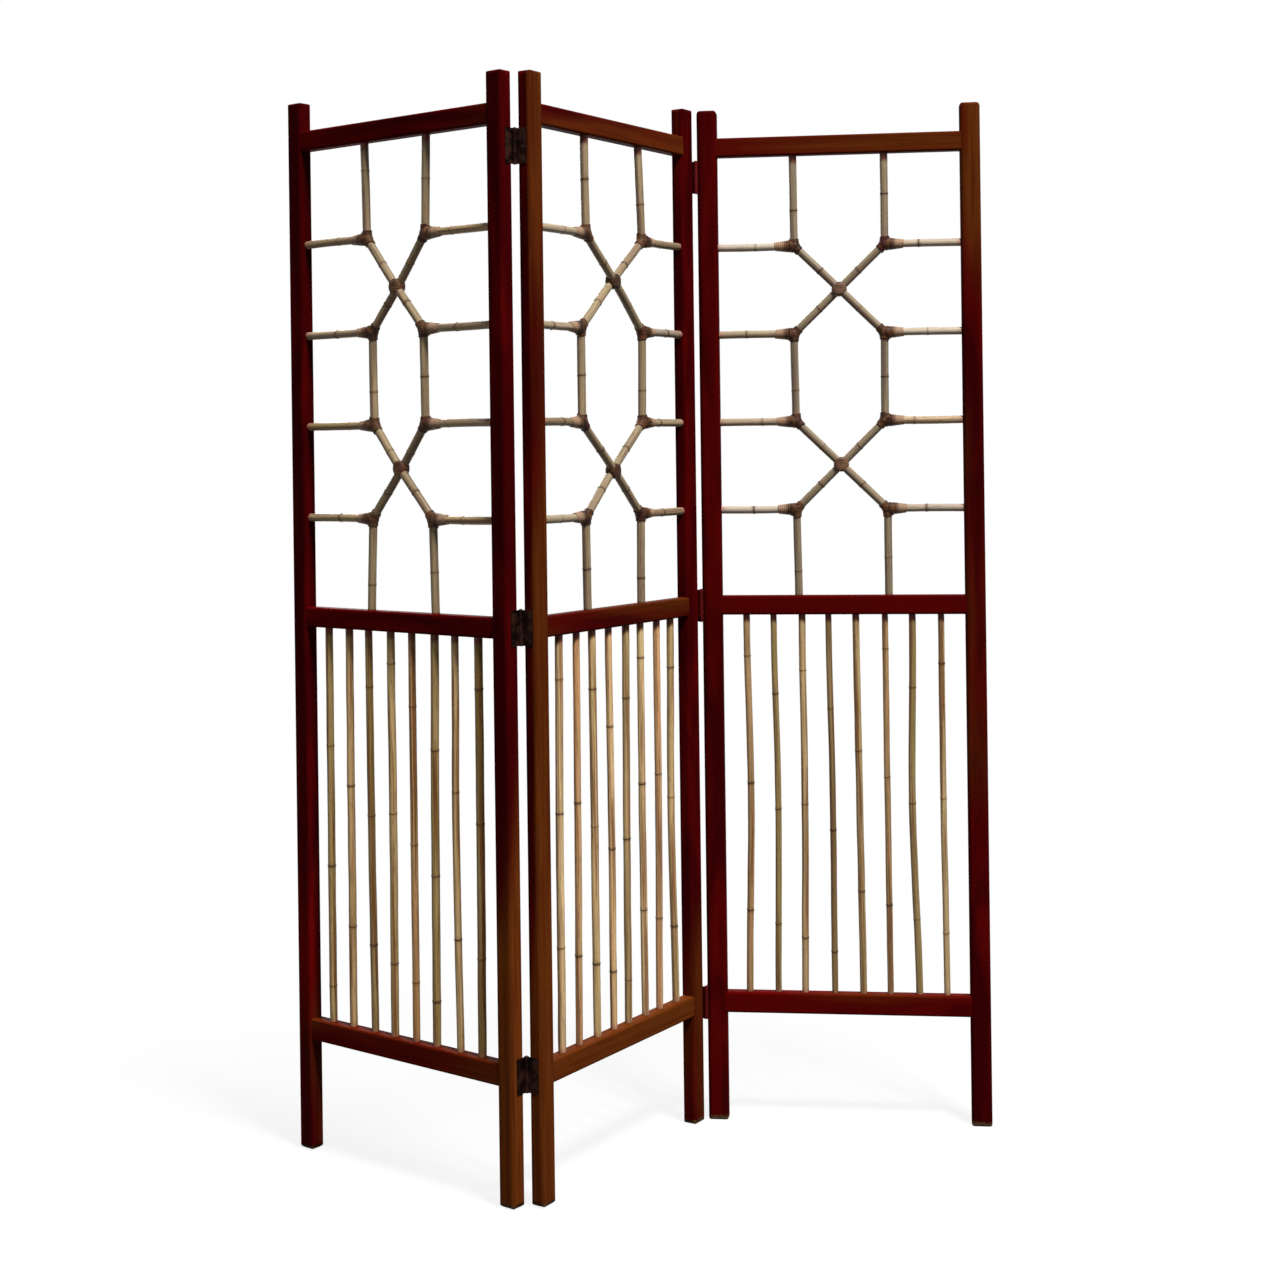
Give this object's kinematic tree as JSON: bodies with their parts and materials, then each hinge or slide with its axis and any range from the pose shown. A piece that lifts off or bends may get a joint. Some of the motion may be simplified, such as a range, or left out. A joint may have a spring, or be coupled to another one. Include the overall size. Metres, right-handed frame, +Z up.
{
  "type": "folding screen",
  "caption": "Folding screen of hinged wooden panels, with a bent and bound rattan lattice above a middle rail and upright rattan rods below it.",
  "frame": {"origin": "on the floor, under the middle of the box that the standing screen fills", "axes": "+Z up, along the posts; -Y towards the front, where the picture was taken from; +X to the viewer's right"},
  "size_m": [1.206, 0.4544, 1.8],
  "materials": {
    "stained_wood": "dark red-brown stain under satin varnish, worn at the edges and feet",
    "rattan": "peeled and varnished cane with growth rings",
    "binding": "dark wound strip, satin",
    "hinge_metal": "aged bronze, dull",
    "pin_metal": "aged bronze, rubbed",
    "screw_metal": "aged brass, slotted heads"
  },
  "bodies": {
    "left_panel": {"left_panel_left_post": "stained_wood", "left_panel_right_post": "stained_wood", "left_panel_top_rail": "stained_wood", "left_panel_middle_rail": "stained_wood", "left_panel_bottom_rail": "stained_wood", "left_panel_left_pole": "rattan", "left_panel_right_pole": "rattan", "left_panel_left_arms": "rattan", "left_panel_right_arms": "rattan", "left_panel_corner_bindings": "binding", "left_panel_crossing_bindings": "binding", "left_panel_rods": "rattan", "left_fold_top_outer_leaf": "hinge_metal", "left_fold_middle_outer_leaf": "hinge_metal", "left_fold_bottom_outer_leaf": "hinge_metal", "left_fold_outer_screws": "screw_metal"},
    "middle_panel": {"middle_panel_left_post": "stained_wood", "middle_panel_right_post": "stained_wood", "middle_panel_top_rail": "stained_wood", "middle_panel_middle_rail": "stained_wood", "middle_panel_bottom_rail": "stained_wood", "middle_panel_left_pole": "rattan", "middle_panel_right_pole": "rattan", "middle_panel_left_arms": "rattan", "middle_panel_right_arms": "rattan", "middle_panel_corner_bindings": "binding", "middle_panel_crossing_bindings": "binding", "middle_panel_rods": "rattan", "left_fold_top_inner_leaf": "hinge_metal", "left_fold_top_pin": "pin_metal", "left_fold_middle_inner_leaf": "hinge_metal", "left_fold_middle_pin": "pin_metal", "left_fold_bottom_inner_leaf": "hinge_metal", "left_fold_bottom_pin": "pin_metal", "right_fold_top_inner_leaf": "hinge_metal", "right_fold_top_pin": "pin_metal", "right_fold_middle_inner_leaf": "hinge_metal", "right_fold_middle_pin": "pin_metal", "right_fold_bottom_inner_leaf": "hinge_metal", "right_fold_bottom_pin": "pin_metal", "left_fold_inner_screws": "screw_metal", "right_fold_inner_screws": "screw_metal"},
    "right_panel": {"right_panel_left_post": "stained_wood", "right_panel_right_post": "stained_wood", "right_panel_top_rail": "stained_wood", "right_panel_middle_rail": "stained_wood", "right_panel_bottom_rail": "stained_wood", "right_panel_left_pole": "rattan", "right_panel_right_pole": "rattan", "right_panel_left_arms": "rattan", "right_panel_right_arms": "rattan", "right_panel_corner_bindings": "binding", "right_panel_crossing_bindings": "binding", "right_panel_rods": "rattan", "right_fold_top_outer_leaf": "hinge_metal", "right_fold_middle_outer_leaf": "hinge_metal", "right_fold_bottom_outer_leaf": "hinge_metal", "right_fold_outer_screws": "screw_metal"}
  },
  "joints": [
    {"name": "left_fold", "type": "hinge", "parent": "middle_panel", "child": "left_panel", "pos_m": [-0.19522, -0.20802, 0.917], "axis": [0, 0, 1], "range_deg": [-84, 96]},
    {"name": "right_fold", "type": "hinge", "parent": "middle_panel", "child": "right_panel", "pos_m": [0.10253, 0.19869, 0.917], "axis": [0, 0, 1], "range_deg": [-115.5, 64.5]}
  ]
}
